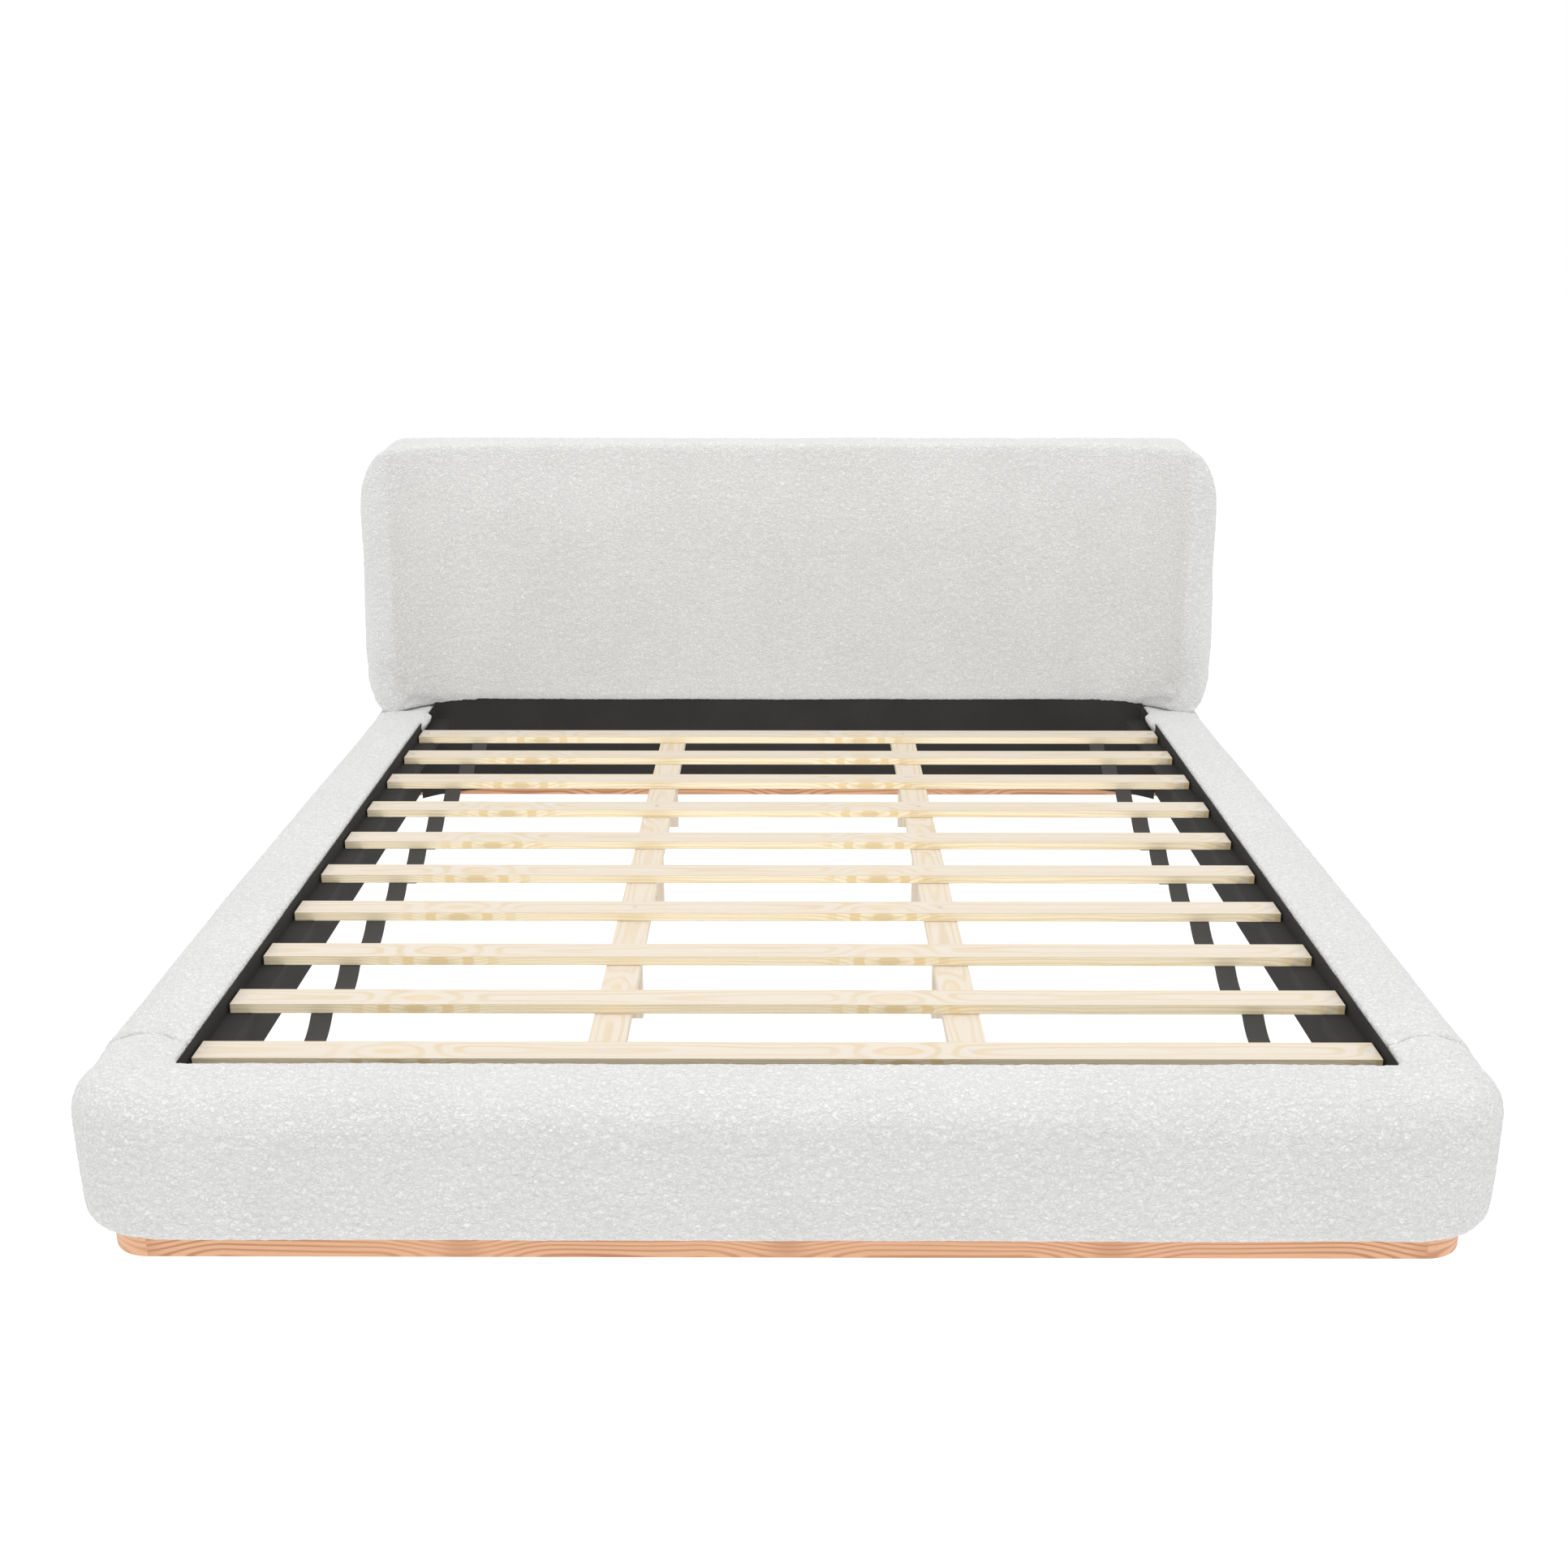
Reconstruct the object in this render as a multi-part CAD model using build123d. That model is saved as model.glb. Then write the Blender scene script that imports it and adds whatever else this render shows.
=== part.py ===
from build123d import *

import math
import os

# A king-size low platform bed with a padded frame and a padded headboard, in millimetres.
# +Z is up, +Y runs from the foot to the head, and +X is the right-hand side seen from the foot.
# The origin is at the middle of the footprint, on the floor.

# Overall sizes.
WIDTH = 2286
LENGTH = 2480
HEIGHT = 1005

# The padded frame: one section for the footboard and the side rails. Its distance u is measured
# outward from the well's wall, and its height z from the floor.
WALL = 163
FRAME_BOTTOM = 42
FRAME_TOP = 288
TOP_INNER_RADIUS = 5
TOP_OUTER_RADIUS = 70
BOTTOM_OUTER_RADIUS = 30
COVER = 3
CUFF_BOTTOM = 282
UNDER_CUFF = 120
SEAM_SETBACK = 103

# Boards, ledges and lining inside the frame.
BOARD = 40
BOARD_INNER = 43.5
BOARD_TOP = 244.5
LEDGE = 20
LEDGE_REACH = 42
LINING = 1.5
LEDGE_START = 0.5
LEDGE_END = 2140

# The well for the mattress, and the places along it, measured from the foot wall to the head.
WELL_HALF = WIDTH / 2 - WALL
FOOT_WALL = -LENGTH / 2 + WALL
HEAD_FACE = FOOT_WALL + 2204

# The bow of the headboard and of the panel below it, in plan.
BOW_START = 800
BOW_RADIUS = 308
TIP_RADIUS = 50
PANEL = 11
PANEL_BOTTOM = 22
PANEL_TOP = 288
PANEL_HALF = 1021.5

# The headboard.
HEADBOARD_HALF = 1141
HEADBOARD_BOTTOM = FRAME_TOP + 0.5
TOP_CORNER_WIDTH = 150
TOP_CORNER_HEIGHT = 210
BACK_RADIUS = 35
FOOT_RADIUS = 40
CORE = 20
CORE_MARGIN = 38
WING_BOARD = 18
WING_BOARD_INNER = 1075
WING_BOARD_FRONT = FOOT_WALL + 2085
WING_BOARD_SPAN = (330, 880)

# The plinth.
PLINTH_RECESS_SIDE = 56
PLINTH_FRONT = FOOT_WALL - 109
PLINTH_BACK = FOOT_WALL + 2235
PLINTH_BOARD = 20
PLINTH_RADIUS = 70

# The slat deck. Slat centres are measured from the foot wall.
DECK_BOTTOM = 246
SLAT_WIDTH = 62
SLAT_THICKNESS = 18
SLAT_HALF = 975
SLAT_CENTRES = (92, 297, 503, 717, 923, 1128, 1341, 1551, 1749, 1934)
SCREWED_SLATS = (0, 3, 6, 9)
BEAM_INNER = 273
BEAM_WIDTH = 64
BEAM_THICKNESS = 18
LEG_WIDTH = 40
LEG_DEPTH = 22
LEG_FRONTS = (757, 1380, 1935)
EDGE_RADIUS = 1
TAPE_INNER = 796
TAPE_WIDTH = 38
TAPE = 1.5
TAPE_SAG = 27
TAPE_DROP = 0.1
TAB_SLATS = (4, 5)
TAB_REACH = 20
TAB_LENGTH = 14

# Fasteners.
SCREW_HEAD_RADIUS = 5.5
SCREW_HEAD = 2
SCREW_RADIUS = 2.2
SCREW_LENGTH = 30
SLAT_SCREW_X = 958
BOLT_HEAD_RADIUS = 6.5
BOLT_HEAD = 5
BOLT_RADIUS = 4
BOLT_LENGTH = 22
BRACKET = 3
BRACKET_HEIGHT = 100
BRACKET_BOTTOM = 90
BRACKET_REACH = 55
BOLT_ROWS = (115, 165)

UP = Vector(0, 0, 1)
SIDES = {"left": -1, "right": 1}


def box(x_span, y_span, z_span):
    """A block between two values on each axis."""
    size = [high - low for low, high in (x_span, y_span, z_span)]
    middle = [(low + high) / 2 for low, high in (x_span, y_span, z_span)]
    return Pos(*middle) * Box(*size)


def mirrored_box(side, x_span, y_span, z_span):
    """The block on the right-hand side, or its mirror image on the left."""
    if side < 0:
        x_span = (-x_span[1], -x_span[0])
    return box(x_span, y_span, z_span)


def softened(board, axis):
    """A board with its four edges along an axis slightly rounded."""
    return fillet(board.edges().filter_by(axis), EDGE_RADIUS)


def rectangle(x_span, y_span):
    """A flat rectangle between two values on each axis."""
    size = (x_span[1] - x_span[0], y_span[1] - y_span[0])
    return Pos(sum(x_span) / 2, sum(y_span) / 2) * Rectangle(*size)


def round_corner(face, x, y, radius):
    """Round the corner of a flat face that lies nearest to a point."""
    corner = min(face.vertices(), key=lambda v: math.hypot(v.X - x, v.Y - y))
    return fillet(corner, radius)


def run(section, origin, out, length):
    """A section carried in a straight line, with its u axis along out."""
    out = Vector(*out)
    return extrude(Plane(origin=origin, x_dir=out, z_dir=out.cross(UP)) * section, length)


def turn(section, origin, out):
    """A section carried a quarter turn anticlockwise about the corner of the well."""
    out = Vector(*out)
    face = Plane(origin=origin, x_dir=out, z_dir=out.cross(UP)) * section
    return revolve(face, Axis(origin, (0, 0, 1)), 90)


# Sections of the padded frame.


def frame_outline():
    """The whole section of the padded frame."""
    face = rectangle((0, WALL), (FRAME_BOTTOM, FRAME_TOP))
    face = round_corner(face, 0, FRAME_TOP, TOP_INNER_RADIUS)
    face = round_corner(face, WALL, FRAME_TOP, TOP_OUTER_RADIUS)
    return round_corner(face, WALL, FRAME_BOTTOM, BOTTOM_OUTER_RADIUS)


def cover_section():
    """The cover's strip: from its cuff on the well's wall, over and round, to the underside."""
    strip = frame_outline() - offset(frame_outline(), -COVER)
    strip -= rectangle((-1, COVER + 1), (0, CUFF_BOTTOM))
    return strip - rectangle((-1, UNDER_CUFF), (0, FRAME_BOTTOM + COVER + 1))


def foam_section():
    """The foam inside the cover, outside the board and above it."""
    return offset(frame_outline(), -COVER) - rectangle((0, BOARD_INNER + BOARD), (0, BOARD_TOP))


def lining_section(reach):
    """The lining's strip, folded over a ledge that stands reach into the well."""
    wall = BOARD_INNER - LINING
    under = BOARD_TOP - LEDGE
    front = -reach
    points = [(0, CUFF_BOTTOM)]
    if reach:
        points += [(0, DECK_BOTTOM), (front - LINING, DECK_BOTTOM)]
    points += [
        (front - LINING if reach else 0, under - LINING),
        (wall, under - LINING),
        (wall, FRAME_BOTTOM),
        (BOARD_INNER, FRAME_BOTTOM),
        (BOARD_INNER, under),
        (front if reach else LINING, under),
    ]
    if reach:
        points += [(front, BOARD_TOP), (LINING, BOARD_TOP)]
    points += [(LINING, CUFF_BOTTOM)]
    return make_face(Polyline(*points, close=True))


# The footboard: a C-shaped unit with two short returns.


def foot_run(section):
    """A section carried across the foot, between the two corners of the well."""
    return run(section, (WELL_HALF, FOOT_WALL, 0), (0, -1, 0), 2 * WELL_HALF)


def foot_corner(section, side):
    """A section carried round one front corner and along its return."""
    corner = (side * WELL_HALF, FOOT_WALL, 0)
    bend = turn(section, corner, (-1, 0, 0) if side < 0 else (0, -1, 0))
    return bend + side_run(section, side, FOOT_WALL, FOOT_WALL + SEAM_SETBACK)


def side_run(section, side, low, high):
    """A section carried along one side of the bed, between two places."""
    start = low if side < 0 else high
    return run(section, (side * WELL_HALF, start, 0), (side, 0, 0), high - low)


def foot_boards():
    """The board across the foot and its two returns."""
    across = FOOT_WALL - BOARD_INNER
    half = WELL_HALF + BOARD_INNER + BOARD
    height = (FRAME_BOTTOM, BOARD_TOP)
    boards = {"foot_board": box((-half, half), (across - BOARD, across), height)}
    for name, side in SIDES.items():
        boards[f"{name}_return_board"] = mirrored_box(
            side, (half - BOARD, half), (across, FOOT_WALL + SEAM_SETBACK), height
        )
    return boards


def foot_pieces():
    """Every piece of the footboard unit."""
    pieces = foot_boards()
    boards = list(pieces.values())
    pieces["foot_foam"] = foot_run(foam_section())
    cover = foot_run(cover_section())
    for name, side in SIDES.items():
        cover += foot_corner(cover_section(), side)
        foam = foot_corner(foam_section(), side)
        for board in boards:
            foam -= board
        pieces[f"foot_foam_{name}_corner"] = foam
    pieces["foot_cover"] = cover
    pieces["foot_batten"] = box(
        (-WELL_HALF, WELL_HALF),
        (FOOT_WALL - BOARD_INNER, FOOT_WALL - LINING),
        (BOARD_TOP - LEDGE, BOARD_TOP),
    )
    pieces["foot_lining"] = foot_run(lining_section(0))
    return pieces


# The side rails.


def rail_pieces(name, side):
    """Every piece of one side rail."""
    start = FOOT_WALL + SEAM_SETBACK
    inner = WELL_HALF + BOARD_INNER
    core_front = LENGTH / 2 - COVER - CORE
    core = mirrored_box(
        side, (0, inner + BOARD), (core_front, LENGTH / 2 + 1), (0, FRAME_TOP + 1)
    )
    ledge_span = (FOOT_WALL + LEDGE_START, FOOT_WALL + LEDGE_END)
    return {
        f"{name}_rail_board": mirrored_box(
            side, (inner, inner + BOARD), (start, core_front), (FRAME_BOTTOM, BOARD_TOP)
        ),
        f"{name}_rail_foam": side_run(foam_section(), side, start, LENGTH / 2 - COVER) - core,
        f"{name}_rail_cover": side_run(cover_section(), side, start, LENGTH / 2 - COVER) - core,
        f"{name}_ledge": mirrored_box(
            side, (WELL_HALF - LEDGE_REACH, inner), ledge_span, (BOARD_TOP - LEDGE, BOARD_TOP)
        ),
        f"{name}_lining": side_run(lining_section(LEDGE_REACH), side, *ledge_span),
    }


# The head end: the bowed panel under the headboard, and the headboard itself.


def well_plan(grow):
    """The well's plan at the head, grown outward: straight across, then an arc at each end."""
    centre = HEAD_FACE - BOW_RADIUS
    plan = rectangle((-BOW_START, BOW_START), (centre - BOW_RADIUS, HEAD_FACE + grow))
    for side in SIDES.values():
        plan += Pos(side * BOW_START, centre) * Circle(BOW_RADIUS + grow)
    return plan


def bowed_panel(inner, outer):
    """A panel that follows the bow, between two distances behind its face."""
    plan = well_plan(outer) - well_plan(inner)
    plan &= rectangle((-PANEL_HALF, PANEL_HALF), (HEAD_FACE - BOW_RADIUS, HEAD_FACE + outer))
    panel = Pos(0, 0, PANEL_BOTTOM) * extrude(plan, PANEL_TOP - PANEL_BOTTOM)
    above_lining = (BOARD_TOP - LEDGE - LINING - 0.5, PANEL_TOP + 1)
    for side in SIDES.values():
        panel -= mirrored_box(
            side, (WELL_HALF - 0.5, PANEL_HALF + 1), (0, LENGTH / 2), above_lining
        )
    return panel


def headboard_plan(inset):
    """The headboard's plan: a straight back, and wings that bow forward to a round tip."""
    half = HEADBOARD_HALF - inset
    back = LENGTH / 2 - inset
    radius = TIP_RADIUS - inset
    tip_x = HEADBOARD_HALF - TIP_RADIUS
    centre = HEAD_FACE - BOW_RADIUS
    across = tip_x - BOW_START
    along = math.sqrt((BOW_RADIUS + TIP_RADIUS) ** 2 - across**2)
    tip_y = centre + along
    share = (BOW_RADIUS + inset) / (BOW_RADIUS + TIP_RADIUS)
    touch_x = BOW_START + across * share
    touch_y = centre + along * share
    plan = rectangle((-half, half), (tip_y, back))
    for side in SIDES.values():
        plan = round_corner(plan, side * half, back, BACK_RADIUS - inset)
    for side in SIDES.values():
        plan += Pos(side * tip_x, tip_y) * Circle(radius)
        neck = sorted((side * (touch_x - radius), side * tip_x))
        plan += rectangle(neck, (touch_y, tip_y))
    return plan - well_plan(inset)


def headboard_front(inset):
    """The headboard's outline from the front, with large top corners."""
    half = HEADBOARD_HALF - inset
    shoulder_x = HEADBOARD_HALF - TOP_CORNER_WIDTH
    shoulder_z = HEIGHT - TOP_CORNER_HEIGHT
    bottom = HEADBOARD_BOTTOM + inset
    front = rectangle((-half, half), (bottom, shoulder_z))
    for side in SIDES.values():
        front = round_corner(front, side * half, bottom, FOOT_RADIUS - inset)
    front += rectangle((-shoulder_x, shoulder_x), (shoulder_z, HEIGHT - inset))
    for side in SIDES.values():
        corner = Ellipse(TOP_CORNER_WIDTH - inset, TOP_CORNER_HEIGHT - inset)
        front += Pos(side * shoulder_x, shoulder_z) * corner
    return front


def headboard_block(inset, back, front):
    """The headboard's outline from the front, carried between two places along the bed."""
    plane = Plane(origin=(0, back, 0), x_dir=(1, 0, 0), z_dir=(0, -1, 0))
    return extrude(plane * headboard_front(inset), back - front)


def headboard_form(inset):
    """The padded headboard, drawn in all round by inset."""
    plan = extrude(headboard_plan(inset), HEIGHT + 1)
    return plan & headboard_block(inset, LENGTH / 2, HEAD_FACE - BOW_RADIUS)


def headboard_core():
    """The full-height board at the back, which also closes the frame at the head."""
    back = LENGTH / 2 - COVER
    half = WELL_HALF + BOARD_INNER + BOARD
    upper = headboard_block(CORE_MARGIN, back, back - CORE)
    return upper + box((-half, half), (back - CORE, back), (FRAME_BOTTOM, HEADBOARD_BOTTOM + 60))


def headboard_pieces():
    """Every piece of the headboard."""
    core = headboard_core()
    core_front = LENGTH / 2 - COVER - CORE
    inside = headboard_form(COVER) - core
    cover = headboard_form(0) - headboard_form(COVER) - core
    lower_half = WELL_HALF + BOARD_INNER + BOARD - 1
    back = LENGTH / 2 - COVER
    pieces = {
        "headboard_core": core,
        "headboard_cover": cover,
        "headboard_foam": inside & box((-BOW_START, BOW_START), (0, LENGTH), (0, HEIGHT)),
        "headboard_back_lining": box(
            (-lower_half, lower_half), (back, back + LINING), (FRAME_BOTTOM, FRAME_TOP - 1)
        ),
    }
    for name, side in SIDES.items():
        board = mirrored_box(
            side,
            (WING_BOARD_INNER, WING_BOARD_INNER + WING_BOARD),
            (WING_BOARD_FRONT, core_front),
            WING_BOARD_SPAN,
        )
        region = mirrored_box(side, (BOW_START, WIDTH), (0, LENGTH), (0, HEIGHT))
        pieces[f"{name}_wing_board"] = board
        pieces[f"headboard_foam_{name}_wing"] = (inside & region) - board
    return pieces


# The plinth: four straight boards and four curved corner blocks.


def plinth_pieces():
    """Every piece of the recessed plinth."""
    half = WIDTH / 2 - PLINTH_RECESS_SIDE
    straight = half - PLINTH_RADIUS
    height = (0, FRAME_BOTTOM)
    low = PLINTH_FRONT + PLINTH_RADIUS
    high = PLINTH_BACK - PLINTH_RADIUS
    pieces = {
        "plinth_front": box(
            (-straight, straight), (PLINTH_FRONT, PLINTH_FRONT + PLINTH_BOARD), height
        ),
        "plinth_back": box(
            (-straight, straight), (PLINTH_BACK - PLINTH_BOARD, PLINTH_BACK), height
        ),
    }
    ring = Circle(PLINTH_RADIUS) - Circle(PLINTH_RADIUS - PLINTH_BOARD)
    for name, side in SIDES.items():
        pieces[f"plinth_{name}"] = mirrored_box(
            side, (half - PLINTH_BOARD, half), (low, high), height
        )
        for end, y, ahead in (("front", low, -1), ("back", high, 1)):
            quarter = rectangle(
                sorted((0, side * PLINTH_RADIUS)), sorted((0, ahead * PLINTH_RADIUS))
            )
            block = extrude(ring & quarter, FRAME_BOTTOM)
            pieces[f"plinth_{end}_{name}_corner"] = Pos(side * straight, y, 0) * block
    return pieces


# The slat deck.


def slat_span(centre):
    """The places along the bed of a slat's two edges."""
    middle = FOOT_WALL + centre
    return middle - SLAT_WIDTH / 2, middle + SLAT_WIDTH / 2


def deck_screw(x, y, top):
    """A countersunk screw, point down, with its head flush with top."""
    head = Pos(x, y, top - SCREW_HEAD / 2) * Cylinder(SCREW_HEAD_RADIUS, SCREW_HEAD)
    shank_length = SCREW_LENGTH - SCREW_HEAD
    shank = Cylinder(SCREW_RADIUS, shank_length)
    return head + Pos(x, y, top - SCREW_HEAD - shank_length / 2) * shank


def deck_screws():
    """The screws of every slat's ends, of the slats over the tie boards, and of the legs."""
    slat_top = DECK_BOTTOM + SLAT_THICKNESS
    beam_x = BEAM_INNER + BEAM_WIDTH / 2
    leg_x = BEAM_INNER + BEAM_WIDTH - LEG_WIDTH / 2
    screws = []
    for side in SIDES.values():
        for index, centre in enumerate(SLAT_CENTRES):
            screws.append(deck_screw(side * SLAT_SCREW_X, FOOT_WALL + centre, slat_top))
            if index in SCREWED_SLATS:
                screws.append(deck_screw(side * beam_x, FOOT_WALL + centre, slat_top))
        for front in LEG_FRONTS:
            y = FOOT_WALL + front + LEG_DEPTH / 2
            screws.append(deck_screw(side * leg_x, y, DECK_BOTTOM))
    return screws


def tape(side):
    """A webbing tape under the slats, sagging in every gap, with two short tail tabs."""
    high = DECK_BOTTOM - TAPE_DROP
    upper = []
    lower = []
    for index, centre in enumerate(SLAT_CENTRES):
        start, end = slat_span(centre)
        upper.append(Line((start, high), (end, high)))
        lower.append(Line((start, high - TAPE), (end, high - TAPE)))
        if index + 1 < len(SLAT_CENTRES):
            following = slat_span(SLAT_CENTRES[index + 1])[0]
            middle = (end + following) / 2
            for edges, level in ((upper, high), (lower, high - TAPE)):
                edges.append(ThreePointArc((end, level), (middle, level - TAPE_SAG), (following, level)))
    first = slat_span(SLAT_CENTRES[0])[0]
    last = slat_span(SLAT_CENTRES[-1])[1]
    ends = [Line((y, high), (y, high - TAPE)) for y in (first, last)]
    profile = make_face(Wire(upper + lower + ends))
    plane = Plane(origin=(side * TAPE_INNER, 0, 0), x_dir=(0, 1, 0), z_dir=(1, 0, 0))
    strip = extrude(plane * profile, side * TAPE_WIDTH)
    for index in TAB_SLATS:
        start = slat_span(SLAT_CENTRES[index])[0]
        strip += mirrored_box(
            side,
            (TAPE_INNER - TAB_REACH, TAPE_INNER + 1),
            (start, start + TAB_LENGTH),
            (high - TAPE, high),
        )
    return strip


def deck_pieces():
    """Every piece of the slat deck, with the screw holes cut."""
    pieces = {}
    for index, centre in enumerate(SLAT_CENTRES):
        slat = box(
            (-SLAT_HALF, SLAT_HALF), slat_span(centre), (DECK_BOTTOM, DECK_BOTTOM + SLAT_THICKNESS)
        )
        pieces[f"slat_{index + 1}"] = softened(slat, Axis.X)
    beam_span = (slat_span(SLAT_CENTRES[0])[0], slat_span(SLAT_CENTRES[-1])[1])
    beam_bottom = DECK_BOTTOM - BEAM_THICKNESS
    outer = BEAM_INNER + BEAM_WIDTH
    for name, side in SIDES.items():
        tie_board = mirrored_box(side, (BEAM_INNER, outer), beam_span, (beam_bottom, DECK_BOTTOM))
        pieces[f"{name}_tie_board"] = softened(tie_board, Axis.Y)
        for index, front in enumerate(LEG_FRONTS):
            y = FOOT_WALL + front
            leg = mirrored_box(
                side, (outer - LEG_WIDTH, outer), (y, y + LEG_DEPTH), (0, beam_bottom)
            )
            pieces[f"{name}_leg_{index + 1}"] = softened(leg, Axis.Z)
        pieces[f"{name}_tape"] = tape(side)
    return pieces


# The joint plates and bolts at the frame's corners.


def bolt(origin, out):
    """A hexagon-head bolt whose head stands out from a surface along out."""
    plane = Plane(origin=origin, z_dir=out)
    head = extrude(plane * RegularPolygon(BOLT_HEAD_RADIUS, 6), BOLT_HEAD)
    return head + extrude(plane * Circle(BOLT_RADIUS), -BOLT_LENGTH)


def corner_hardware():
    """The plates over the two foot joints, the angles at the two head corners, and the bolts."""
    face = WELL_HALF + BOARD_INNER - LINING
    height = (BRACKET_BOTTOM, BRACKET_BOTTOM + BRACKET_HEIGHT)
    seam = FOOT_WALL + SEAM_SETBACK
    core_front = LENGTH / 2 - COVER - CORE
    brackets = []
    bolts = []
    for side in SIDES.values():
        plate = mirrored_box(
            side, (face - BRACKET, face), (seam - BRACKET_REACH, seam + BRACKET_REACH), height
        )
        leg = mirrored_box(
            side, (face - BRACKET, face), (core_front - BRACKET_REACH, core_front), height
        )
        foot = mirrored_box(
            side, (face - BRACKET_REACH, face), (core_front - BRACKET, core_front), height
        )
        brackets += [plate, leg + foot]
        middle = BRACKET_REACH * 0.55
        inward = (-side, 0, 0)
        for z in BOLT_ROWS:
            for y in (seam - middle, seam + middle, core_front - middle):
                bolts.append(bolt((side * (face - BRACKET), y, z), inward))
            x = side * (face - middle)
            bolts.append(bolt((x, core_front - BRACKET, z), (0, -1, 0)))
    return brackets, bolts


def drill(pieces, fasteners):
    """Cut each fastener out of every piece that it passes through."""
    boxes = {name: piece.bounding_box() for name, piece in pieces.items()}
    for fastener in fasteners:
        span = fastener.bounding_box()
        for name, bounds in boxes.items():
            if all(
                low < other_high and other_low < high
                for low, high, other_low, other_high in zip(
                    span.min, span.max, bounds.min, bounds.max
                )
            ):
                pieces[name] = pieces[name] - fastener


def build():
    """Build every piece and return it by its name."""
    pieces = foot_pieces()
    for name, side in SIDES.items():
        pieces.update(rail_pieces(name, side))
    pieces["head_panel"] = bowed_panel(LINING, PANEL)
    pieces["head_lining"] = bowed_panel(0, LINING)
    pieces.update(plinth_pieces())
    pieces.update(deck_pieces())
    headboard = headboard_pieces()
    screws = deck_screws()
    brackets, bolts = corner_hardware()
    drill(pieces, screws)
    for index, bracket in enumerate(brackets):
        for fastener in bolts:
            bracket -= fastener
        brackets[index] = bracket
    drill(pieces, bolts)
    drill(headboard, bolts)
    pieces.update(headboard)
    pieces["deck_screws"] = Compound(children=screws)
    pieces["corner_brackets"] = Compound(children=brackets)
    pieces["frame_bolts"] = Compound(children=bolts)
    return pieces


os.makedirs("parts", exist_ok=True)
for node, shape in build().items():
    export_step(shape, f"parts/{node}.step")
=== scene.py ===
"""A king-size platform bed: its padded pieces, linings, webbing and finishes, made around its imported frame."""

import logging
import math
from collections.abc import Callable, Iterator
from contextlib import contextmanager
from dataclasses import dataclass
from enum import Enum

import bmesh
import bpy
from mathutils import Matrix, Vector


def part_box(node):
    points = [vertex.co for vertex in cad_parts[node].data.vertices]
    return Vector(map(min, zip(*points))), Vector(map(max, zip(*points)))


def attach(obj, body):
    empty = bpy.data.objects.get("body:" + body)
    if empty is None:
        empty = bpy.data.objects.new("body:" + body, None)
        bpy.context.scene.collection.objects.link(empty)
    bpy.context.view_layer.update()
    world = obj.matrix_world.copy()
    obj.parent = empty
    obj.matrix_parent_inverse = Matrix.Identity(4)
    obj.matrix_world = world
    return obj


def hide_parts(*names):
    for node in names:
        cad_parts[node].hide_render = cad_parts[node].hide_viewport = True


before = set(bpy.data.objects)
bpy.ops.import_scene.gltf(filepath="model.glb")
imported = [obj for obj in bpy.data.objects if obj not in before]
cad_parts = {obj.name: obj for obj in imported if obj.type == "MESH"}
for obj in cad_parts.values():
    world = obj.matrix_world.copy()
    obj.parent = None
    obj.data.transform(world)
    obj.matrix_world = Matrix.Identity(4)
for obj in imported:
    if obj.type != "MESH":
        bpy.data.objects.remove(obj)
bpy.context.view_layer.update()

log = logging.getLogger("bed")

MM = 0.001

Test = Callable[[Vector], bool]
Colour = tuple[float, float, float]
Socket = bpy.types.NodeSocket
Piece = bpy.types.Object


class Side(Enum):
    """The two long sides of the bed, seen from the foot."""

    LEFT = -1
    RIGHT = 1

    @property
    def word(self) -> str:
        """The side's name as the frame's nodes use it."""
        return self.name.lower()


class Cut(Enum):
    """The ways to combine two solids."""

    AWAY = "DIFFERENCE"
    TOGETHER = "UNION"
    COMMON = "INTERSECT"


class Grain(Enum):
    """The axis that a board's grain runs along."""

    ALONG_X = 0
    ALONG_Y = 1
    ALONG_Z = 2


# The workbench: Blender's own tools, used as by hand.


def only(piece: Piece) -> Piece:
    """Select one piece and nothing else, and make it the active one.

    Args:
        piece: The piece to work on.

    Returns:
        The same piece.
    """
    bpy.ops.object.select_all(action="DESELECT")
    piece.hide_set(False)
    piece.select_set(True)
    bpy.context.view_layer.objects.active = piece
    return piece


@contextmanager
def editing(piece: Piece, mode: str = "FACE") -> Iterator[None]:
    """Open a piece in edit mode with everything selected, and close it at the end.

    Args:
        piece: The piece to open.
        mode: What is selected by: VERT, EDGE or FACE.
    """
    only(piece)
    bpy.ops.object.mode_set(mode="EDIT")
    bpy.ops.mesh.select_mode(type=mode)
    bpy.ops.mesh.select_all(action="SELECT")
    try:
        yield
    finally:
        bpy.ops.object.mode_set(mode="OBJECT")


def choose(piece: Piece, kind: str, test: Test) -> int:
    """Select only the parts of an opened piece whose middle passes a test.

    Args:
        piece: A piece that is open in edit mode.
        kind: What to select: verts, edges or faces.
        test: Says whether a point is wanted.

    Returns:
        How many parts were selected.
    """
    bpy.ops.mesh.select_all(action="DESELECT")
    mesh = bmesh.from_edit_mesh(piece.data)
    found = 0
    for part in getattr(mesh, kind):
        corners = [part] if kind == "verts" else list(part.verts)
        middle = sum((v.co for v in corners), Vector()) / len(corners)
        if test(middle) and (kind != "edges" or all(test(v.co) for v in corners)):
            part.select_set(True)
            found += 1
    mesh.select_flush_mode()
    bmesh.update_edit_mesh(piece.data)
    return found


def place(piece: Piece) -> Piece:
    """Put a piece's place, turn and size into its mesh, so that its object sits at the origin."""
    only(piece)
    bpy.ops.object.transform_apply(location=True, rotation=True, scale=True)
    return piece


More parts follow.
